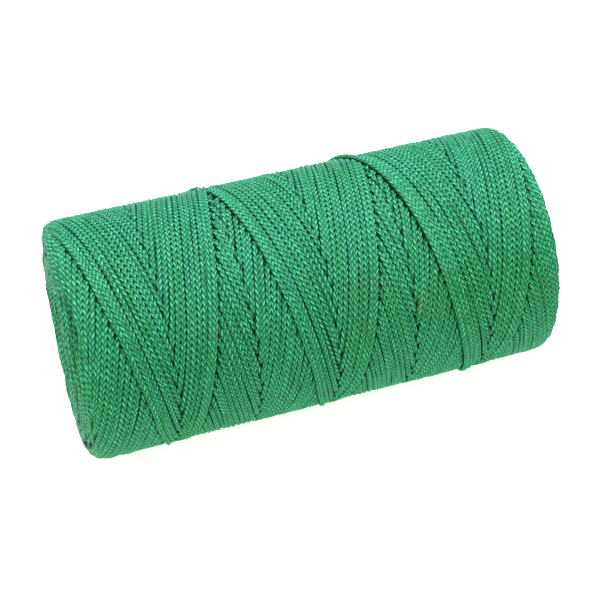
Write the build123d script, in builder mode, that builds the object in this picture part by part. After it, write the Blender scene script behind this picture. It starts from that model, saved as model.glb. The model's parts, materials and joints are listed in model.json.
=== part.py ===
from build123d import *
from math import asin, cos, degrees, radians, sin
import os

# A cross-wound spool of braided cord on a cardboard tube, lying on its side.
# Millimetres. The origin is the centre of the bore, +X runs along the bore and +Z is up.
# The cord covers the tube in closed layers, each two cord thicknesses deep. Its free end lies
# in the surface of the outermost layer, and lifts off there as three hinged lengths.

# Driving dimensions
package_diameter = 64.0      # across the winding
package_length = 126.0       # over the winding's two ends
tube_length = 122.0          # over the tube's two rims, which stand back inside the winding
cord_diameter = 1.4
lay_pitch = 42.7             # advance of a cord strand in one turn
bore_diameter = 25.4
liner_thickness = 0.5
board_thickness = 1.6
wrap_thickness = 0.3
winding_layers = 6

# End faces: they bulge, with one layer standing furthest out
widest_layer = 1             # counted from 0 at the tube
layer_setback_rate = 0.1     # times the square of the count from the widest layer
shoulder_radius = 2.2
inner_edge_radius = 0.6

# Valleys run round the winding where the two lays change places
valley_count = 5
valley_centre_x = 1.4
valley_width = 1.8
valley_depth = 0.6

# The winding's foot, pressed flat where it rests
foot_depth = 0.4

# Slit in the right-hand rim that holds the start of the cord
slit_angle = 250.0           # round the bore, from +Y towards +Z
slit_depth = 5.0
slit_gap = 0.05
tail_length = 22.0
tail_bend_radius = 0.8

# Free end of the cord
free_end_x = 13.8            # where its plane crosses the spool's axis
free_end_root_angle = 40.0   # in its own plane, from +Y towards +Z
segment_angle = 30.0
joint_gap = 0.05
channel_gap = 0.1
channel_end_margin = 2.0     # degrees beyond each end of the cord

# Worked out from the sizes above
package_radius = package_diameter / 2
half_length = package_length / 2
tube_half_length = tube_length / 2
cord_radius = cord_diameter / 2
bore_radius = bore_diameter / 2
liner_radius = bore_radius + liner_thickness
board_radius = liner_radius + board_thickness
tube_radius = board_radius + wrap_thickness
layer_thickness = (package_radius - tube_radius) / winding_layers
cord_path_radius = package_radius - cord_radius
swing_match = 45.0           # the swing plane meets the cord's helix this far either side of +Y
swing_rise = lay_pitch * swing_match / 360
swing_tilt = degrees(asin(swing_rise / (cord_path_radius * sin(radians(swing_match)))))
middle_angle = free_end_root_angle - segment_angle
tip_angle = middle_angle - segment_angle

# Planes across and along the bore, and one across it with x pointing at the slit
across_spool = Plane(origin=(0, 0, 0), x_dir=(0, 1, 0), z_dir=(1, 0, 0))
along_spool = Plane(origin=(0, 0, 0), x_dir=(1, 0, 0), z_dir=(0, -1, 0))
slit_outward = Vector(0, cos(radians(slit_angle)), sin(radians(slit_angle)))
slit_plane = Plane(origin=(0, 0, 0), x_dir=slit_outward, z_dir=(1, 0, 0))

# The plane in which the free end lies and swings is tilted to follow the lay of the cord
swing_normal = Vector(cos(radians(swing_tilt)), 0, -sin(radians(swing_tilt)))
swing_plane = Plane(origin=(free_end_x, 0, 0), x_dir=(0, 1, 0), z_dir=swing_normal)
swing_axis = Axis(swing_plane.origin, swing_plane.z_dir)


def outward_at(angle):
    """Direction away from the spool's axis in the swing plane, and the point on the cord there."""
    outward = swing_plane.x_dir * cos(radians(angle)) + swing_plane.y_dir * sin(radians(angle))
    return outward, swing_plane.origin + outward * cord_path_radius


def cord_section(angle):
    """Plane across the free end's centre line, with x pointing away from the spool."""
    outward, centre = outward_at(angle)
    return Plane(origin=centre, x_dir=outward, z_dir=swing_normal.cross(outward))


def hinge_section(angle):
    """Plane of the swing, centred on the hinge at that angle."""
    outward, centre = outward_at(angle)
    return Plane(origin=centre, x_dir=outward, z_dir=swing_normal)


def tube(inner_radius, outer_radius):
    """One ply of the core, with the slit for the start of the cord."""
    with BuildPart() as ply:
        with BuildSketch(across_spool.offset(-tube_half_length)):
            Circle(outer_radius)
            Circle(inner_radius, mode=Mode.SUBTRACT)
        extrude(amount=tube_length)
        with BuildSketch(slit_plane.offset(tube_half_length)):
            with Locations((bore_radius, 0)):
                Rectangle(4 * board_thickness, cord_diameter + 2 * slit_gap)
        extrude(amount=-slit_depth, mode=Mode.SUBTRACT)
    return ply.part


def winding_layer(index, rim_radius):
    """Closed layer of cord, counted from the tube outwards, as a ring with rounded rims."""
    inner_radius = tube_radius + index * layer_thickness
    half_width = half_length - layer_setback_rate * (index - widest_layer) ** 2
    with BuildPart() as layer:
        with BuildSketch(along_spool) as profile:
            with Locations((0, inner_radius + layer_thickness / 2)):
                Rectangle(2 * half_width, layer_thickness)
            fillet(profile.vertices().group_by(Axis.Y)[-1], radius=rim_radius)
        revolve(axis=Axis.X)
    return layer.part


def knuckle(angle, side):
    """Rounded end on the hinge at that angle: side 1 is towards the root, side -1 towards the tip."""
    with BuildPart() as rounded_end:
        with BuildSketch(cord_section(angle)):
            Circle(cord_radius)
        extrude(amount=side * cord_radius)
        with BuildSketch(hinge_section(angle)):
            Circle(cord_radius)
        extrude(amount=cord_radius, both=True, mode=Mode.INTERSECT)
    return rounded_end.part


def cord_length(start_angle):
    """One plain length of the free end, back from the given angle."""
    with BuildPart() as length:
        with BuildSketch(cord_section(start_angle)):
            Circle(cord_radius)
        revolve(axis=swing_axis, revolution_arc=-segment_angle)
    return length.part


# Cardboard tube: liner, board and outer wrap, glued face to face
with BuildPart() as core_liner:
    add(tube(bore_radius, liner_radius))
core_liner.part.label = "core_liner"

with BuildPart() as core_board:
    add(tube(liner_radius, board_radius))
core_board.part.label = "core_board"

with BuildPart() as core_wrap:
    add(tube(board_radius, tube_radius))
core_wrap.part.label = "core_wrap"

# Start of the cord: along the tube under the winding, then in through the slit
tail_radius = tube_radius + cord_radius
tail_end_x = tube_half_length - slit_depth + cord_radius + slit_gap
tail_start_x = tail_end_x - tail_length
tail_plane = Plane(origin=(0, 0, 0), x_dir=(1, 0, 0), z_dir=slit_plane.y_dir)
tail_start = tail_plane.from_local_coords((tail_start_x, tail_radius))
with BuildPart() as line_start:
    with BuildLine(tail_plane):
        FilletPolyline(
            (tail_start_x, tail_radius),
            (tail_end_x, tail_radius),
            (tail_end_x, bore_radius + slit_gap),
            radius=tail_bend_radius,
        )
    with BuildSketch(Plane(origin=tail_start, x_dir=slit_plane.y_dir, z_dir=(1, 0, 0))):
        Circle(cord_radius)
    sweep()
line_start.part.label = "line_start"

# Room for the start of the cord between the tube and the innermost layer
with BuildPart() as tail_room:
    with BuildSketch(slit_plane.offset(tail_start_x - slit_gap)):
        with Locations((tube_radius, 0)):
            Rectangle(2 * (cord_diameter + slit_gap), cord_diameter + 2 * slit_gap)
    extrude(amount=tail_length + cord_radius + 2 * slit_gap)

# Channel for the free end: round below the cord, open to the surface above it
with BuildPart() as channel:
    with BuildSketch(cord_section(free_end_root_angle + channel_end_margin)):
        Circle(cord_radius + channel_gap)
        with Locations((cord_diameter, 0)):
            Rectangle(2 * cord_diameter, cord_diameter + 2 * channel_gap)
    revolve(axis=swing_axis, revolution_arc=-3 * segment_angle - 2 * channel_end_margin)

# Winding: the innermost layer makes room for the tail
with BuildPart() as line_layer_1:
    add(winding_layer(0, inner_edge_radius))
    add(tail_room.part, mode=Mode.SUBTRACT)
line_layer_1.part.label = "line_layer_1"

with BuildPart() as line_layer_2:
    add(winding_layer(1, inner_edge_radius))
line_layer_2.part.label = "line_layer_2"

with BuildPart() as line_layer_3:
    add(winding_layer(2, inner_edge_radius))
line_layer_3.part.label = "line_layer_3"

with BuildPart() as line_layer_4:
    add(winding_layer(3, inner_edge_radius))
line_layer_4.part.label = "line_layer_4"

with BuildPart() as line_layer_5:
    add(winding_layer(4, inner_edge_radius))
line_layer_5.part.label = "line_layer_5"

# Outermost layer, with the valleys, the channel and the flattened foot
with BuildPart() as line_layer_6:
    add(winding_layer(5, shoulder_radius))
    with BuildSketch(along_spool):
        for valley in range(valley_count):
            valley_x = valley_centre_x + (valley - (valley_count - 1) / 2) * lay_pitch / 2
            with BuildLine():
                Polyline(
                    (valley_x - valley_width / 2, package_radius + valley_depth),
                    (valley_x - valley_width / 2, package_radius),
                    (valley_x, package_radius - valley_depth),
                    (valley_x + valley_width / 2, package_radius),
                    (valley_x + valley_width / 2, package_radius + valley_depth),
                    close=True,
                )
            make_face()
    revolve(axis=Axis.X, mode=Mode.SUBTRACT)
    add(channel.part, mode=Mode.SUBTRACT)
    split(bisect_by=Plane.XY.offset(foot_depth - package_radius), keep=Keep.TOP)
line_layer_6.part.label = "line_layer_6"

# Free end: each length swings on the knuckle of the one before it
with BuildPart() as free_end_root:
    add(cord_length(free_end_root_angle))
    add(knuckle(free_end_root_angle, side=1))
    add(knuckle(middle_angle, side=-1))
free_end_root.part.label = "free_end_root"

with BuildPart() as free_end_middle:
    add(cord_length(middle_angle))
    with BuildSketch(hinge_section(middle_angle)):
        Circle(cord_radius + joint_gap)
    extrude(amount=cord_diameter, both=True, mode=Mode.SUBTRACT)
    add(knuckle(tip_angle, side=-1))
free_end_middle.part.label = "free_end_middle"

with BuildPart() as free_end_tip:
    add(cord_length(tip_angle))
    with BuildSketch(hinge_section(tip_angle)):
        Circle(cord_radius + joint_gap)
    extrude(amount=cord_diameter, both=True, mode=Mode.SUBTRACT)
    add(knuckle(tip_angle - segment_angle, side=-1))
free_end_tip.part.label = "free_end_tip"

os.makedirs("parts", exist_ok=True)
export_step(core_liner.part, "parts/core_liner.step")
export_step(core_board.part, "parts/core_board.step")
export_step(core_wrap.part, "parts/core_wrap.step")
export_step(line_start.part, "parts/line_start.step")
export_step(line_layer_1.part, "parts/line_layer_1.step")
export_step(line_layer_2.part, "parts/line_layer_2.step")
export_step(line_layer_3.part, "parts/line_layer_3.step")
export_step(line_layer_4.part, "parts/line_layer_4.step")
export_step(line_layer_5.part, "parts/line_layer_5.step")
export_step(line_layer_6.part, "parts/line_layer_6.step")
export_step(free_end_root.part, "parts/free_end_root.step")
export_step(free_end_middle.part, "parts/free_end_middle.step")
export_step(free_end_tip.part, "parts/free_end_tip.step")
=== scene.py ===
import json
import math

import bpy
import numpy as np
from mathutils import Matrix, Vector


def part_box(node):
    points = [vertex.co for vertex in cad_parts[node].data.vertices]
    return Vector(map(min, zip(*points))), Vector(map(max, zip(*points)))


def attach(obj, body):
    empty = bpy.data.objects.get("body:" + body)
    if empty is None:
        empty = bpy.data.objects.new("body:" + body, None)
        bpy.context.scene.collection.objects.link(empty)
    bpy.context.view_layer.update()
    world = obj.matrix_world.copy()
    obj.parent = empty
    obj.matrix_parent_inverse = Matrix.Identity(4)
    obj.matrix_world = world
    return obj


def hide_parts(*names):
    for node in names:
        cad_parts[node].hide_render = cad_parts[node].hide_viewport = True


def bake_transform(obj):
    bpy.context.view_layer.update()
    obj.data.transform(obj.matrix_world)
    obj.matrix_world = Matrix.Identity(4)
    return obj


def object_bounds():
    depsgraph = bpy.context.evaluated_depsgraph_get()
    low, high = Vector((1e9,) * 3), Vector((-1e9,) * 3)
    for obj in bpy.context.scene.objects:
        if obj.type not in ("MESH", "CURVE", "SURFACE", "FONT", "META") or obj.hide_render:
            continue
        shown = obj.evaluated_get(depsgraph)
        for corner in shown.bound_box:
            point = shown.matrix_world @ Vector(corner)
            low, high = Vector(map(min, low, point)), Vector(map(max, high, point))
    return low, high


# A cross-wound spool of green braided cord on a cardboard tube. Every cord that shows is a braided tube.
# The cords of the two outer lays follow the path a winding machine lays them on, and turns of the lays
# beneath fill the end faces.
# Cord and winding are in millimetres, which the mesh builder turns into the frame's metres.
# Materials, lights and camera are in metres.

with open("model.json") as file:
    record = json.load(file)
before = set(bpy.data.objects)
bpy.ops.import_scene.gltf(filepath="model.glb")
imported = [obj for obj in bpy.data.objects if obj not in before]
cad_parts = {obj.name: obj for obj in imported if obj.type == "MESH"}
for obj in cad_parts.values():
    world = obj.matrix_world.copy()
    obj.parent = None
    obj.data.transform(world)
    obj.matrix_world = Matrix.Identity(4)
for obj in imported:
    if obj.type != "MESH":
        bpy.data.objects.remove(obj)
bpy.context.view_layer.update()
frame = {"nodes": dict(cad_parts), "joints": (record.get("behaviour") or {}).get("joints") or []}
MM = 0.001
TURN = 2 * math.pi
rng = np.random.default_rng(31)

# ---- Sizes from the frame, and those of the CAD that its boxes don't give ----
package_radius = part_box("line_layer_6")[1].y / MM
foot_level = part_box("line_layer_6")[0].z / MM
tube_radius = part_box("core_wrap")[1].y / MM
tube_half_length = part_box("core_wrap")[1].x / MM
hinges = [Vector(joint["pos_m"]) / MM for joint in frame["joints"]]
layer_count = 6
layer_thickness = (package_radius - tube_radius) / layer_count
liner_thickness = 0.5
slit_turn = 250 / 360                # place of the slit round the bore, from +Y towards +Z
free_end_turns = 3 * 30 / 360        # the free end's three lengths, in their own plane
tilt_share = 0.982                   # that plane is tilted, which shortens them round the spool

# ---- The cord ----
cord_half_width = 0.66
cord_half_height = 0.62
stitch_pitch = 1.65
braid_columns = 4
points_per_column = 4
around = braid_columns * points_per_column
stitch_lean = 0.45           # how far a stitch slants across its column, in pitches
stitch_relief = 0.28
side_relief_share = 0.7      # the relief is smaller on the cord's sides
stitch_roundness = 1.2       # power of the sine wave along a stitch
seam_hollow = 0.6            # share of a stitch's height that is lost at the edges of its column
seam_zigzag = 0.16           # radians
spin_spread = 0.25           # how far a braid is turned about its centre line, in radians
spin_wander = (0.30, 60.0)   # in radians, and its wavelength
fine_step = 0.27
coarse_every = 6

# ---- The winding ----
strands = 31                 # of each lay, side by side in one pitch
pitch = 42.7                 # advance in one turn
valley_centre = 0.9
left_turn_x = 61.7           # where the cord turns round at each end
right_turn_x = 62.6
rising_offset = 0.25         # the lays take turns in the order of winding, which is counted in strands
falling_offset = 0.75
crossing_drop = 1.15         # a covered cord lies this much deeper than one on top
crossing_share = 1.5         # length of the dive, in strand spacings
shown_margin = 1.3           # a diving cord keeps its stitches this far, in strand spacings
always_shown = 9.0           # the same measure for a cord that nothing covers
ridge_height = 0.9           # how far the newest cords of each lay stand out
falling_ridge_height = 0.15
ridge_strands = 2
ridge_ease = 4.0             # length over which ridges and wander fade out towards a turn
height_wander = (0.05, 25.0)         # waves of the outer cords, and their wavelength
height_spread = 0.04
side_wander = (0.08, 30.0)
side_spread = 0.04
foot_press = 0.85            # share of what hangs below the foot that is pressed away

# ---- The ends of the winding ----
left_corner = 4.5            # radius of the corner at each end
right_corner = 2.0
left_corner_x = 63.2         # where the rounded corner ends
right_corner_x = 63.5
end_edge_x = 62.9            # where the domed end faces meet the outside
dome_rise = (2.4, 5.9)       # on the flattest side of the dome and on its fullest side
dome_fall = (3.2, 4.0)
fullest_angle = math.radians(170)
left_swell = 1.3             # how much further the left end stands out on its fullest side
swell_start = 50.0
swell_length = 12.0
end_depth_share = 0.75       # in the painted shade, depth behind the end faces counts for less, as light comes in there

# The rising lay's newest cord ends at the free end, so that lay's phase comes from the first hinge
root_turn = math.atan2(hinges[0].z, hinges[0].y) / TURN
rising_phase = root_turn - hinges[0].x / pitch + 1 - rising_offset / strands
falling_phase = rising_phase + 2 * valley_centre / pitch

# Where that cord, the last one, stops round the spool and along it
tip_turn = root_turn - free_end_turns * tilt_share
free_tip_x = pitch * (tip_turn - rising_phase - rising_offset / strands + 1)
tip_margin = 0.5             # the order at the crossings changes this far before the free tip

# Turning round has to join each cord to the next one of the other lay, which sets its sharpness
next_rank = falling_offset - rising_offset
spare_turns = 1.5
lay_shift = falling_phase - rising_phase
left_round = spare_turns + (-lay_shift - next_rank / strands) / 2 - left_turn_x / pitch
right_round = spare_turns + (lay_shift - next_rank / strands) / 2 - right_turn_x / pitch
traverse_turns = (left_turn_x + right_turn_x) / pitch + left_round + right_round


def smoothstep(value):
    value = np.clip(value, 0.0, 1.0)
    return value * value * (3 - 2 * value)


def wander(along, amplitude, wavelength):
    """A smooth random wave along a cord."""
    wave = np.zeros(len(along))
    for _ in range(3):
        length = wavelength * rng.uniform(0.6, 1.8)
        wave += np.sin(TURN * (along / length + rng.uniform()))
    return wave * amplitude / math.sqrt(3)


def end_fullness(angle):
    """1 on the side where the winding's ends stand out furthest, and 0 on the other side."""
    return 0.5 + 0.5 * np.cos(angle - fullest_angle)


def corner_at(x):
    """Radius of the winding's corner at the end on that side."""
    return np.where(x < 0, left_corner, right_corner)


def corner_drop(depth, corner_radius):
    """How far a rounded corner falls back from one face, at a depth below the other face."""
    over_corner = np.clip(corner_radius - depth, 0, corner_radius)
    return corner_radius - np.sqrt(corner_radius ** 2 - over_corner ** 2)


def end_face(radius, angle, corner_radius):
    """Distance along the spool to the domed end of the winding, which is fuller on one side."""
    inward = np.clip((package_radius - radius) / (package_radius - tube_radius), 0, 1)
    fullness = end_fullness(angle)
    rise = dome_rise[0] + (dome_rise[1] - dome_rise[0]) * fullness
    fall = dome_fall[0] + (dome_fall[1] - dome_fall[0]) * fullness
    edge_x = end_edge_x - corner_drop(package_radius - radius, corner_radius)
    return edge_x + rise * inward - fall * inward ** 2


class Path:
    """Centre line of a cord: points, the direction away from the spool, and how the braid lies on it."""

    point_values = ("outward", "points", "along", "spin", "shown", "size", "tangent")

    def __init__(self, angle, x, radius, shown):
        self.outward = np.stack([np.zeros(len(x)), np.cos(angle), np.sin(angle)], 1)
        self.points = self.outward * radius[:, None]
        self.points[:, 0] = x
        steps = np.linalg.norm(np.diff(self.points, axis=0), axis=1)
        self.along = np.concatenate([[0.0], np.cumsum(steps)])
        self.spin = rng.normal(0, spin_spread) + wander(self.along, *spin_wander)
        self.along = self.along + rng.uniform(0, stitch_pitch)
        self.shown = shown
        self.size = np.ones(len(x))
        self.tangent = np.gradient(self.points, axis=0)
        self.tangent /= np.linalg.norm(self.tangent, axis=1)[:, None]

    def thin(self):
        """Keeps every ring where the cord shows, and only some where it is covered."""
        count = len(self.points)
        keep = (self.shown > 0) | (np.arange(count) % coarse_every == 0)
        keep[[0, -1]] = True
        for name in self.point_values:
            setattr(self, name, getattr(self, name)[keep])

    def part(self, first, last):
        """The stretch between two indices, with the same braid."""
        piece = Path.__new__(Path)
        for name in self.point_values:
            setattr(piece, name, getattr(self, name)[first:last + 1].copy())
        return piece


# ---- The path of a cord in the two outermost lays ----
def turn_excess(turns, sharpness):
    """What rounding the turn adds to a straight traverse, in pitches."""
    return np.sqrt(turns * turns + sharpness * sharpness) - turns


def uncovered(lay, rank, turns, x):
    """How far each point of a cord is inside its uncovered stretch, in strand spacings.
    It is below zero where newer cords cover the cord."""
    if lay == 1:
        oldest = rising_offset
    else:
        oldest = np.where(x > free_tip_x - tip_margin, falling_offset, falling_offset - 1)
    crossed = np.mod(rank + next_rank + 2 * strands * turns - oldest, strands)
    own = rank - oldest
    above = np.minimum(crossed, own - crossed)
    below = np.minimum(crossed - own, strands - crossed)
    inside = np.where(crossed < own, above, -below)
    if rank > strands:
        inside = np.full(len(turns), always_shown)
    # At its two turns a cord is halfway down, where it joins the next cord
    inside = np.maximum(inside, -2 * strands * turns)
    return np.minimum(inside, 2 * strands * (traverse_turns - turns))


def traverse(lay, rank, from_turn=0.0):
    """One passage of the cord from end to end. Lay 1 rises with the turn angle and lay -1 falls.
    rank is the cord's place in the order of winding, and a newer cord lies on top of an older one."""
    if lay == 1:
        near_x, near_round, far_round = left_turn_x, left_round, right_round
        lay_phase, lay_ridge = rising_phase, ridge_height
    else:
        near_x, near_round, far_round = right_turn_x, right_round, left_round
        lay_phase, lay_ridge = falling_phase, falling_ridge_height
    count = int((traverse_turns - from_turn) * TURN * package_radius / fine_step)
    turns = np.linspace(from_turn, traverse_turns, count)
    angle = TURN * (lay_phase + rank / strands - near_x / pitch - near_round + turns)
    turns_left = traverse_turns - turns
    rise = turns - near_round + turn_excess(turns, near_round) - turn_excess(turns_left, far_round)
    x = lay * (pitch * rise - near_x)

    inside = uncovered(lay, rank, turns, x)
    on_top = smoothstep(inside / crossing_share + 0.5)
    ridge = lay_ridge * np.clip(1 - (strands - rank) / ridge_strands, 0, 1)
    middle = smoothstep((near_x - np.abs(x)) / ridge_ease)
    along = turns * TURN * package_radius
    radius = package_radius - cord_half_height - stitch_relief / 2 - crossing_drop * (1 - on_top)
    radius += on_top * (ridge * middle + wander(along, *height_wander) + rng.normal(0, height_spread))
    corner_x = np.where(x < 0, left_corner_x, right_corner_x)
    radius -= corner_drop(corner_x - np.abs(x), corner_at(x))
    x = x + middle * (wander(along, *side_wander) + rng.normal(0, side_spread))
    return Path(angle, x, radius, inside + shown_margin)


# ---- Meshes ----
def braid_rings(path):
    """Vertices of the braided tube round a path, ring by ring."""
    side = np.arange(around) / points_per_column
    column = np.floor(side)
    across = 2 * (side - column) - 1
    odd = column % 2
    length = path.along[:, None] / stitch_pitch
    stitch = length + 0.5 * odd + stitch_lean * across * (1 - 2 * odd)
    swell = np.abs(np.sin(math.pi * stitch)) ** stitch_roundness * (1 - seam_hollow * across ** 4)
    detail = smoothstep(path.shown)[:, None]
    relief = stitch_relief * (swell - 0.5) * detail
    zigzag = seam_zigzag * np.cos(TURN * (length + 0.5 * odd)) * (across == -1)
    angle = path.spin[:, None] + side * TURN / braid_columns + zigzag
    sideways = np.cross(path.tangent, path.outward)
    sideways /= np.linalg.norm(sideways, axis=1)[:, None]
    outward = np.cross(sideways, path.tangent)
    size = path.size[:, None]
    high = (np.cos(angle) * (cord_half_height + relief) * size)[..., None]
    wide = (np.sin(angle) * (cord_half_width + side_relief_share * relief) * size)[..., None]
    return path.points[:, None, :] + high * outward[:, None, :] + wide * sideways[:, None, :]


def settle(vertices):
    """Lets the left end swell on its full side, and presses the winding flat where it rests."""
    x, y, z = vertices[..., 0], vertices[..., 1], vertices[..., 2]
    near_end = smoothstep((-x - swell_start) / swell_length)
    swell = left_swell * end_fullness(np.arctan2(z, y)) * near_end
    below = np.minimum(z - foot_level, 0)
    return np.stack([x - swell, y, z - foot_press * below], -1)


def depth_inside(vertices):
    """How far each vertex lies inside the winding's outer form."""
    radius = np.hypot(vertices[:, 1], vertices[:, 2])
    angle = np.arctan2(vertices[:, 2], vertices[:, 1])
    corner_radius = corner_at(vertices[:, 0])
    from_outside = package_radius - radius
    from_end = end_face(radius, angle, 0.0) - np.abs(vertices[:, 0])
    over_side = np.maximum(corner_radius - from_outside, 0)
    over_end = np.maximum(corner_radius - from_end, 0)
    over = np.hypot(over_side, over_end)
    end_share = over_end ** 2 / np.maximum(over, 0.01) ** 2
    return (corner_radius - over) * (1 - end_share * (1 - end_depth_share))


def mesh_object(name, vertices, loops, starts, material):
    """A piece from vertices in millimetres, the vertex at each corner of a face, and the number of
    each face's first corner."""
    mesh = bpy.data.meshes.new(name)
    mesh.vertices.add(len(vertices))
    mesh.vertices.foreach_set("co", (vertices * MM).astype(np.float32).ravel())
    mesh.loops.add(len(loops))
    mesh.loops.foreach_set("vertex_index", loops.astype(np.int32))
    mesh.polygons.add(len(starts))
    mesh.polygons.foreach_set("loop_start", starts.astype(np.int32))
    mesh.update(calc_edges=True)
    mesh.shade_smooth()
    piece = bpy.data.objects.new(name, mesh)
    bpy.context.scene.collection.objects.link(piece)
    mesh.materials.append(material)
    return piece


def per_corner(*values):
    """The values at the corners of each face, face by face."""
    return np.stack(values, 1).ravel()


def add_map(piece, name, places):
    layer = piece.data.uv_layers.new(name=name)
    layer.data.foreach_set("uv", places.astype(np.float32).ravel())


def bake_layout(places, row_count):
    """Strips side by side, in which each face of the skin has a place of its own."""
    row, side, along = places.T
    strips = max(1, round(math.sqrt(row_count * fine_step / (TURN * cord_half_width))))
    rows_per_strip = math.ceil(row_count / strips)
    margin = 0.04
    u = (row // rows_per_strip + margin + (1 - 2 * margin) * side / around) / strips
    v = (row % rows_per_strip + along) / rows_per_strip
    return np.stack([u, v], 1)


def cord_object(name, paths, material):
    """One piece made of closed braided cords."""
    vertices, depths, loops, starts, cord_places, bake_places = [], [], [], [], [], []
    vertex_count = loop_count = row_count = 0
    for number, path in enumerate(paths):
        path.thin()
        rings = braid_rings(path).reshape(-1, 3)
        vertices.append(settle(rings))
        depths.append(depth_inside(rings))

        # The skin has a face between each two neighbouring rings, on each side
        count = len(path.points)
        ring, side = np.meshgrid(np.arange(count - 1), np.arange(around), indexing="ij")
        ring, side = ring.ravel(), side.ravel()
        start, next_start = ring * around, (ring + 1) * around
        next_side = (side + 1) % around
        corners = per_corner(start + side, start + next_side, next_start + next_side, next_start + side)
        loops.append(vertex_count + corners)
        starts.append(loop_count + 4 * np.arange(len(ring)))
        loop_count += 4 * len(ring)

        # One map counts the braid's columns and stitches, and the other the rows of faces
        stitches = path.along / stitch_pitch
        corner_side = per_corner(side, side + 1, side + 1, side)
        u = corner_side / points_per_column + braid_columns * number
        v = per_corner(stitches[ring], stitches[ring], stitches[ring + 1], stitches[ring + 1])
        cord_places.append(np.stack([u, v], 1))
        row = np.repeat(row_count + ring, 4)
        bake_places.append(np.stack([row, corner_side, np.tile([0, 0, 1, 1], len(ring))], 1))

        # The two ends are closed with one face each
        rim = np.arange(around)
        for cap in (rim[::-1], (count - 1) * around + rim):
            loops.append(vertex_count + cap)
            starts.append(np.array([loop_count]))
            cord_places.append(np.tile([[braid_columns * number + 0.5, stitches[0]]], (around, 1)))
            bake_places.append(np.stack([np.full(around, row_count), rim, np.zeros(around, int)], 1))
            loop_count += around
        vertex_count += count * around
        row_count += count - 1

    piece = mesh_object(name, np.concatenate(vertices), np.concatenate(loops),
                        np.concatenate(starts), material)
    # Depth inside the winding, from which the cord material paints shade
    depth = piece.data.attributes.new("depth", "FLOAT", "POINT")
    depth.data.foreach_set("value", np.concatenate(depths).astype(np.float32))
    add_map(piece, "Cord", np.concatenate(cord_places))
    add_map(piece, "OFBake", bake_layout(np.concatenate(bake_places), row_count))
    return piece


def lathe(name, outline, material, segments=180):
    """A closed ring turned about the spool's axis from a closed outline of (x, radius)."""
    outline = np.array(outline, float)
    count = len(outline)
    angle = np.arange(segments) * TURN / segments
    x = np.repeat(outline[:, 0][None, :], segments, 0)
    y = outline[:, 1][None, :] * np.cos(angle)[:, None]
    z = outline[:, 1][None, :] * np.sin(angle)[:, None]
    vertices = settle(np.stack([x, y, z], 2)).reshape(-1, 3)
    turn, place = np.meshgrid(np.arange(segments), np.arange(count), indexing="ij")
    turn, place = turn.ravel(), place.ravel()
    start, next_start = turn * count, (turn + 1) % segments * count
    next_place = (place + 1) % count
    corners = per_corner(start + place, next_start + place, next_start + next_place, start + next_place)
    return mesh_object(name, vertices, corners, 4 * np.arange(len(turn)), material)


# ---- Materials ----
class Nodes:
    """A short way to write a node tree."""

    def __init__(self, name):
        self.material = bpy.data.materials.new(name)
        self.material.use_nodes = True
        self.tree = self.material.node_tree
        self.shader = self.tree.nodes["Principled BSDF"]

    def plug(self, socket, value):
        if isinstance(value, bpy.types.NodeSocket):
            self.tree.links.new(value, socket)
        else:
            socket.default_value = value

    def surface(self, name, value):
        """Sets one input of the material's shader."""
        self.plug(self.shader.inputs[name], value)

    def node(self, kind, inputs=None, **settings):
        node = self.tree.nodes.new(kind)
        for key, value in settings.items():
            setattr(node, key, value)
        for key, value in (inputs or {}).items():
            self.plug(node.inputs[key], value)
        return node

    def math(self, operation, *values):
        node = self.node("ShaderNodeMath", operation=operation)
        for socket, value in zip(node.inputs, values):
            self.plug(socket, value)
        return node.outputs[0]

    def mix(self, factor, first, second):
        node = self.node("ShaderNodeMix", {"Factor": factor}, data_type="RGBA")
        self.plug(node.inputs["A"], first)
        self.plug(node.inputs["B"], second)
        return node.outputs["Result"]

    def noise(self, vector, scale, detail=2.0):
        inputs = {"Vector": vector, "Scale": scale, "Detail": detail}
        return self.node("ShaderNodeTexNoise", inputs).outputs["Fac"]

    def combine(self, x, y, z):
        return self.node("ShaderNodeCombineXYZ", {"X": x, "Y": y, "Z": z}).outputs[0]

    def ramp(self, value, low, high):
        inputs = {"Value": value, "From Min": low, "From Max": high}
        return self.node("ShaderNodeMapRange", inputs).outputs[0]

    def share(self, value, low, high, most):
        """Goes from 0 up to the most while the value goes from low to high."""
        return self.math("MULTIPLY", self.ramp(value, low, high), most)

    def bump(self, height, distance, strength=1.0):
        inputs = {"Height": height, "Distance": distance, "Strength": strength}
        return self.node("ShaderNodeBump", inputs).outputs[0]

    def place(self):
        return self.node("ShaderNodeTexCoord").outputs["Object"]


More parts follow.
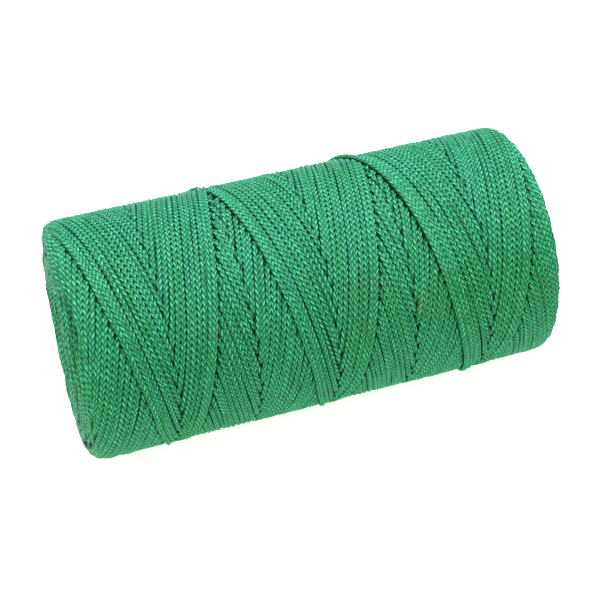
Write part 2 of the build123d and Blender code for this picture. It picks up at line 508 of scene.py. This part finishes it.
def cord_material():
    """Glossy nylon braid. The Cord map counts columns round the cord and stitches along it."""
    n = Nodes("green_braid")
    # Near-black green: painted shade in the gaps of the braid and inside the winding
    painted_shade_green = (0.002, 0.034, 0.011, 1)
    green = (0.014, 0.248, 0.060, 1)
    teal = (0.020, 0.262, 0.094, 1)
    grass = (0.018, 0.250, 0.036, 1)
    # Lighter green: painted sheen streaked along the filaments
    painted_sheen_green = (0.05, 0.42, 0.18, 1)
    # Brightest green: painted highlights on the crests of stitches
    painted_highlight_green = (0.08, 0.64, 0.24, 1)
    stained_green = (0.09, 0.19, 0.04, 1)

    # The stitches, as in braid_rings
    uv = n.node("ShaderNodeUVMap", uv_map="Cord").outputs[0]
    split = n.node("ShaderNodeSeparateXYZ", {"Vector": uv})
    side, length = split.outputs[0], split.outputs[1]
    column = n.math("FLOOR", side)
    odd = n.math("FLOORED_MODULO", column, 2.0)
    across = n.math("MULTIPLY_ADD", n.math("SUBTRACT", side, column), 2.0, -1.0)
    lean = n.math("MULTIPLY_ADD", odd, -2.0, 1.0)
    slant = n.math("MULTIPLY", n.math("MULTIPLY", across, lean), stitch_lean)
    stitch = n.math("ADD", n.math("MULTIPLY_ADD", odd, 0.5, length), slant)
    crest = n.math("ABSOLUTE", n.math("SINE", n.math("MULTIPLY", stitch, math.pi)))
    seam = n.math("POWER", n.math("ABSOLUTE", across), 4.0)
    rounded_crest = n.math("POWER", crest, stitch_roundness)
    body = n.math("MULTIPLY", rounded_crest, n.math("MULTIPLY_ADD", seam, -0.5, 1.0))

    # Filaments run along each stitch, across its slant, and carry streaks of painted sheen
    filament_place = n.combine(n.math("MULTIPLY", stitch, 9.0), n.math("MULTIPLY", across, 0.8), column)
    filament = n.noise(filament_place, 1.0)

    # The green changes slowly along each cord, and in patches over the whole winding
    cord_number = n.math("FLOOR", n.math("DIVIDE", side, braid_columns))
    stretch = n.combine(n.math("MULTIPLY", cord_number, 3.7), n.math("MULTIPLY", length, 0.03), 0.0)
    slow_change = n.noise(stretch, 1.0)
    speckle = n.noise(n.place(), 900.0)
    tone = n.mix(n.ramp(slow_change, 0.35, 0.65), green, teal)
    tone = n.mix(n.share(n.noise(n.place(), 30.0), 0.48, 0.66, 0.6), tone, grass)
    # Painted sheen lightens the green in streaks along the filaments
    pale = n.mix(n.share(filament, 0.45, 0.8, 0.35), tone, painted_sheen_green)
    worn = n.mix(n.share(speckle, 0.5, 0.9, 0.25), pale, green)

    # Painted shade darkens the gaps between stitches and cords and the cord far inside the winding, and
    # painted highlights lighten the crests of some stitches
    depth = n.node("ShaderNodeAttribute", attribute_name="depth").outputs["Fac"]
    unshaded_share = n.math("MULTIPLY", n.ramp(body, -0.40, 0.80), n.ramp(depth, 0.86, 0.24))
    stitch_number = n.combine(n.math("FLOOR", stitch), column, cord_number)
    chance = n.node("ShaderNodeTexWhiteNoise", {"Vector": stitch_number}).outputs["Value"]
    # Painted highlights on the crests of some stitches, chosen at random
    painted_crest_highlight = n.math("MULTIPLY", n.ramp(body, 0.50, 1.0), n.math("MULTIPLY_ADD", chance, 0.85, 0.08))
    with_painted_highlights = n.mix(painted_crest_highlight, worn, painted_highlight_green)
    stain = n.share(n.noise(n.place(), 45.0), 0.60, 0.75, 0.35)
    colour = n.mix(unshaded_share, painted_shade_green, n.mix(stain, with_painted_highlights, stained_green))

    n.surface("Base Color", colour)
    n.surface("Roughness", n.math("MULTIPLY_ADD", filament, 0.25, 0.36))
    n.surface("Specular IOR Level", n.math("MULTIPLY", unshaded_share, 0.26))
    n.surface("Specular Tint", (0.60, 1.0, 0.90, 1))
    n.surface("Sheen Weight", n.math("MULTIPLY", unshaded_share, 0.10))
    n.surface("Sheen Roughness", 0.5)
    n.surface("Sheen Tint", (0.55, 1.0, 0.85, 1))
    height = n.math("MULTIPLY_ADD", filament, 0.35, body)
    n.surface("Normal", n.bump(height, 0.00012, 0.6))
    return n.material


def depth_material():
    """The cord between the outer ones, coloured near-black as painted shade."""
    n = Nodes("green_painted_shade")
    streak = n.noise(n.place(), 500.0, 3.0)
    n.surface("Base Color", n.mix(streak, (0.001, 0.014, 0.006, 1), (0.004, 0.05, 0.02, 1)))
    n.surface("Roughness", 0.8)
    n.surface("Normal", n.bump(streak, 0.0004))
    return n.material


def cardboard_material(name, light, dark, seam_pitch, ply):
    """Spiral-wound paper: fibres, a seam that runs round as a helix, and laminations on the cut rim."""
    n = Nodes(name)
    seam_brown = (0.05, 0.035, 0.02, 1)
    seam_width = 0.012           # in seam pitches
    place = n.place()
    split = n.node("ShaderNodeSeparateXYZ", {"Vector": place})
    x, y, z = split.outputs
    turn = n.math("DIVIDE", n.math("ARCTAN2", z, y), TURN)
    seam = n.math("FRACT", n.math("MULTIPLY_ADD", x, 1 / seam_pitch, turn))
    gap = n.math("LESS_THAN", seam, seam_width)
    radius = n.math("SQRT", n.math("ADD", n.math("MULTIPLY", y, y), n.math("MULTIPLY", z, z)))
    sheet = n.math("ABSOLUTE", n.math("SINE", n.math("MULTIPLY", radius, math.pi / ply)))
    drawn_out = n.node("ShaderNodeMapping", {"Vector": place, "Scale": (0.25, 1, 1)})
    fibre = n.noise(drawn_out.outputs[0], 1500.0, 5.0)
    blotch = n.noise(place, 120.0, 3.0)
    grey = n.mix(n.ramp(fibre, 0.3, 0.7), dark, light)
    grey = n.mix(n.share(blotch, 0.4, 0.7, 0.35), grey, dark)
    grey = n.mix(n.math("MULTIPLY", n.math("SUBTRACT", 1.0, sheet), 0.3), grey, dark)
    n.surface("Base Color", n.mix(n.math("MULTIPLY", gap, 0.7), grey, seam_brown))
    n.surface("Roughness", n.math("MULTIPLY_ADD", blotch, 0.15, 0.78))
    height = n.math("SUBTRACT", n.math("MULTIPLY_ADD", sheet, 0.5, fibre), gap)
    n.surface("Normal", n.bump(height, 0.0001))
    return n.material


braid_green = cord_material()
painted_shade_mass = depth_material()

# ---- The two outermost lays ----
cords_per_piece = 4


def lay_pieces(lay, label, offset):
    for first in range(0, strands, cords_per_piece):
        last = min(first + cords_per_piece, strands)
        paths = [traverse(lay, index + offset) for index in range(first, last)]
        piece = cord_object(f"{label}_{first // cords_per_piece + 1}", paths, braid_green)
        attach(piece, "spool")
        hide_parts("line_layer_6")


lay_pieces(1, "rising_lay", rising_offset)
lay_pieces(-1, "falling_lay", falling_offset)

# ---- The last cord, and its free end ----
tip_taper = 0.75             # length over which the free tip is rounded
bend_length = 4.5            # of the cord that bends, on each side of a hinge


def newest_cord():
    """The newest cord of the rising lay. It starts at the free tip and lies on all the others."""
    from_turn = (free_tip_x + left_turn_x) / pitch + left_round
    path = traverse(1, strands + rising_offset, from_turn)
    distance = path.along - path.along[0]
    rounded = np.clip(1 - (1 - distance / tip_taper) ** 2, 0.02, 1)
    path.size = np.sqrt(np.where(distance < tip_taper, rounded, 1.0))
    return path


def hinge_index(path, hinge):
    """The path's point nearest to a hinge."""
    return int(np.argmin(np.linalg.norm(path.points - np.array(hinge), axis=1)))


last_cord = newest_cord()
root, middle, tip = [hinge_index(last_cord, hinge) for hinge in hinges]
bend = int(bend_length / fine_step)
anchor_cut = root + 2 * bend
first_cut = (root + middle) // 2
second_cut = (middle + tip) // 2

laid = cord_object("last_cord", [last_cord.part(anchor_cut, len(last_cord.points) - 1)], braid_green)
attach(laid, "spool")
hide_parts("line_layer_6")


def bending_piece(name, first, last, node):
    """A stretch of the last cord that lies across a hinge between two bodies."""
    piece = cord_object(name, [last_cord.part(first, last)], braid_green)
    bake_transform(piece)
    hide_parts(node)


bending_piece("loose_cord_root", first_cut, anchor_cut, "free_end_root")
bending_piece("loose_cord_middle", second_cut, first_cut,
              "free_end_middle")
bending_piece("loose_cord_tip", 0, second_cut, "free_end_tip")

# ---- The end faces: turns of the lays beneath, stacked on the tube ----
turns_per_layer = 28
arc_half_turn = 0.13
arc_step = fine_step * 1.2
arc_place = 0.5              # of a layer's turns, as a share of its thickness
outer_arc_place = 0.05       # the outermost layer's lie low, as the two lays turn round above them
overlap_rise = 0.62          # each turn comes up over the one before it and goes down under the next
overlap_rate = 2.2
arc_scatter = 0.3            # round the face, as a share of the arcs' spacing
arc_height_spread = 0.12
arc_wander = (0.12, 12.0)
arc_sharpness = (0.05, 0.10)
arc_dive_share = 0.7         # an arc dives with this share of the lay's slope
face_unevenness = 0.42
inner_insets = (0.0, 1.5, 3.0)       # the innermost layer also has turns further in, along the tube


def end_arc(layer, side, inset, centre):
    """A turn of the cord seen on an end face: it comes up, lies round the face for a while and dives."""
    place = arc_place if layer < layer_count - 1 else outer_arc_place
    radius = tube_radius + (layer + place) * layer_thickness
    count = int(2 * arc_half_turn * TURN * radius / arc_step)
    turns = np.linspace(-arc_half_turn, arc_half_turn, count)
    along = turns * TURN * radius
    overlap = overlap_rise * np.tanh(overlap_rate * turns_per_layer * turns)
    level = radius - overlap + rng.normal(0, arc_height_spread)
    level += wander(along, *arc_wander)
    sharpness = rng.uniform(*arc_sharpness)
    dive = pitch * arc_dive_share * (np.sqrt(turns ** 2 + sharpness ** 2) - sharpness)
    angle = TURN * (centre + turns)
    unevenness = abs(rng.normal(0, face_unevenness))
    reach = end_face(level, angle, corner_at(side)) - inset - cord_half_width - unevenness
    x = reach - dive + wander(along, *arc_wander)
    return Path(angle, side * x, level, np.full(count, always_shown))


def end_arcs(layer, side):
    """All the turns of one layer on the end face of that side."""
    paths = []
    for inset in inner_insets if layer == 0 else (0.0,):
        for index in range(turns_per_layer):
            centre = (index + rng.uniform(-arc_scatter, arc_scatter)) / turns_per_layer
            paths.append(end_arc(layer, side, inset, centre))
    return paths


for side, label in ((-1, "left"), (1, "right")):
    for layer in range(layer_count):
        piece = cord_object(f"{label}_end_turns_{layer + 1}", end_arcs(layer, side), braid_green)
        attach(piece, "spool")
        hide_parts(f"line_layer_{layer + 1}")

# ---- The mass of cord inside, under the lays and behind the end turns ----
mass_half_length = tube_half_length - 0.8
mass_inner_radius = tube_radius + 0.02
mass_outer_radius = package_radius - 2.7
mass_middle_radius = (mass_inner_radius + mass_outer_radius) / 2
mass_bulge = 0.6
mass_shoulder = (2.4, 1.5)           # along the spool and across it
right_side = [
    (mass_half_length - mass_shoulder[0], mass_outer_radius),
    (mass_half_length - mass_bulge, mass_outer_radius - mass_shoulder[1]),
    (mass_half_length + mass_bulge, mass_middle_radius),
    (mass_half_length, mass_inner_radius),
]
left_side = [(-x, radius) for x, radius in reversed(right_side)]
# Its near-black colour is painted shade
packing = lathe("inner_winding", left_side + right_side, painted_shade_mass)
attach(packing, "spool")


# ---- The start of the cord ----
def start_tail():
    """It lies along the tube, bends, and goes in through the slit."""
    low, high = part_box("line_start")
    start_x = low.x / MM
    end_x = high.x / MM - cord_half_width
    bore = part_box("core_liner")[1].y / MM - liner_thickness
    clearance = 0.05
    level = tube_radius + cord_half_height + clearance
    bend_radius = 0.8

    straight = np.linspace(start_x, end_x - bend_radius, 60)
    bend_angle = np.linspace(0, math.pi / 2, 12)[1:]
    inward = np.linspace(level - bend_radius, bore + clearance, 10)[1:]
    bend_x = end_x - bend_radius + bend_radius * np.sin(bend_angle)
    bend_level = level - bend_radius + bend_radius * np.cos(bend_angle)
    x = np.concatenate([straight, bend_x, np.full_like(inward, end_x)])
    radius = np.concatenate([np.full_like(straight, level), bend_level, inward])
    path = Path(np.full(len(x), slit_turn * TURN), x, radius, np.full(len(x), always_shown))

    # The braid's outward side turns with the bend
    turned = np.concatenate([np.zeros_like(straight), bend_angle, np.full_like(inward, math.pi / 2)])
    along_spool = np.array([[1.0, 0, 0]])
    path.outward = path.outward * np.cos(turned)[:, None] + along_spool * np.sin(turned)[:, None]
    return path


tail = cord_object("cord_start", [start_tail()], braid_green)
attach(tail, "spool")
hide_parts("line_start")

# ---- The cardboard tube keeps its CAD shape ----
liner_paper = cardboard_material("liner_paper", light=(0.20, 0.13, 0.09, 1), dark=(0.10, 0.06, 0.04, 1),
                                 seam_pitch=0.060, ply=0.00025)
board_paper = cardboard_material("board_paper", light=(0.17, 0.12, 0.08, 1), dark=(0.09, 0.06, 0.04, 1),
                                 seam_pitch=0.075, ply=0.00032)
wrap_paper = cardboard_material("wrap_paper", light=(0.22, 0.15, 0.10, 1), dark=(0.14, 0.09, 0.06, 1),
                                seam_pitch=0.090, ply=0.00030)
papers = {"core_liner": liner_paper, "core_board": board_paper, "core_wrap": wrap_paper}
for node_name, paper in papers.items():
    node = frame["nodes"][node_name]
    node.data.materials.clear()
    node.data.materials.append(paper)

# ---- Stage ----
floor_size = 6.0
floor_uplight = 0.67         # what the floor sends up to the object
floor_glow = 0.23            # what the camera sees on top of that


def studio_floor():
    """A pale floor that looks white to the camera and throws back only some light."""
    n = Nodes("pale_floor")
    grain = n.noise(n.place(), 40.0)
    seen = n.node("ShaderNodeLightPath").outputs["Is Camera Ray"]
    pale = n.mix(grain, (0.64, 0.75, 0.50, 1), (0.66, 0.77, 0.52, 1))
    n.surface("Base Color", n.mix(seen, (0.60, 0.75, 0.62, 1), pale))
    n.surface("Roughness", 0.9)
    n.surface("Emission Color", n.mix(seen, (0.62, 1, 0.92, 1), (1, 1, 1, 1)))
    n.surface("Emission Strength", n.math("MULTIPLY_ADD", seen, floor_glow, floor_uplight))
    return n.material


bpy.ops.mesh.primitive_plane_add(size=floor_size, location=(0, 0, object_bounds()[0].z))
floor = bpy.context.object
floor.name = "floor"
floor.data.materials.append(studio_floor())


# ---- Light ----
def softbox(name, position, size, power, colour):
    """A soft rectangular light, aimed at the middle of the spool."""
    light = bpy.data.lights.new(name, "AREA")
    light.shape = "RECTANGLE"
    light.size, light.size_y = size
    light.energy = power
    light.color = colour
    lamp = bpy.data.objects.new(name, light)
    lamp.location = position
    lamp.rotation_euler = (-Vector(position)).to_track_quat("-Z", "Y").to_euler()
    bpy.context.scene.collection.objects.link(lamp)


softbox("top_softbox", (0.05, 0.10, 0.70), size=(1.1, 0.8), power=12.4, colour=(1.24, 1.0, 1.68))
softbox("front_softbox", (-0.30, -0.55, 0.75), size=(0.4, 0.4), power=3.2, colour=(1.05, 1.0, 0.62))


def studio_world(sky_light):
    """White to the camera, and a faint light from all round."""
    world = bpy.data.worlds.new("studio")
    world.use_nodes = True
    tree = world.node_tree
    background = tree.nodes["Background"]
    background.inputs["Color"].default_value = (1, 1, 1, 1)
    seen = tree.nodes.new("ShaderNodeLightPath")
    brightness = tree.nodes.new("ShaderNodeMapRange")
    brightness.inputs["To Min"].default_value = sky_light
    brightness.inputs["To Max"].default_value = 1.0
    tree.links.new(seen.outputs["Is Camera Ray"], brightness.inputs["Value"])
    tree.links.new(brightness.outputs[0], background.inputs["Strength"])
    return world


bpy.context.scene.world = studio_world(sky_light=0.05)
bpy.context.scene.view_settings.view_transform = "Standard"

# ---- Camera, at the front, to the left and above ----
camera_azimuth = math.radians(-19.45)
camera_elevation = math.radians(41.84)
camera_distance = 0.4265
back = Vector((math.sin(camera_azimuth) * math.cos(camera_elevation),
               -math.cos(camera_azimuth) * math.cos(camera_elevation),
               math.sin(camera_elevation)))
camera_data = bpy.data.cameras.new("camera")
camera_data.lens = 94.6
camera_data.sensor_width = 36
camera_data.shift_x = 0.0068
camera_data.shift_y = -0.0194
camera = bpy.data.objects.new("camera", camera_data)
camera.location = back * camera_distance
camera.rotation_euler = back.to_track_quat("Z", "Y").to_euler()
bpy.context.scene.collection.objects.link(camera)
bpy.context.scene.camera = camera
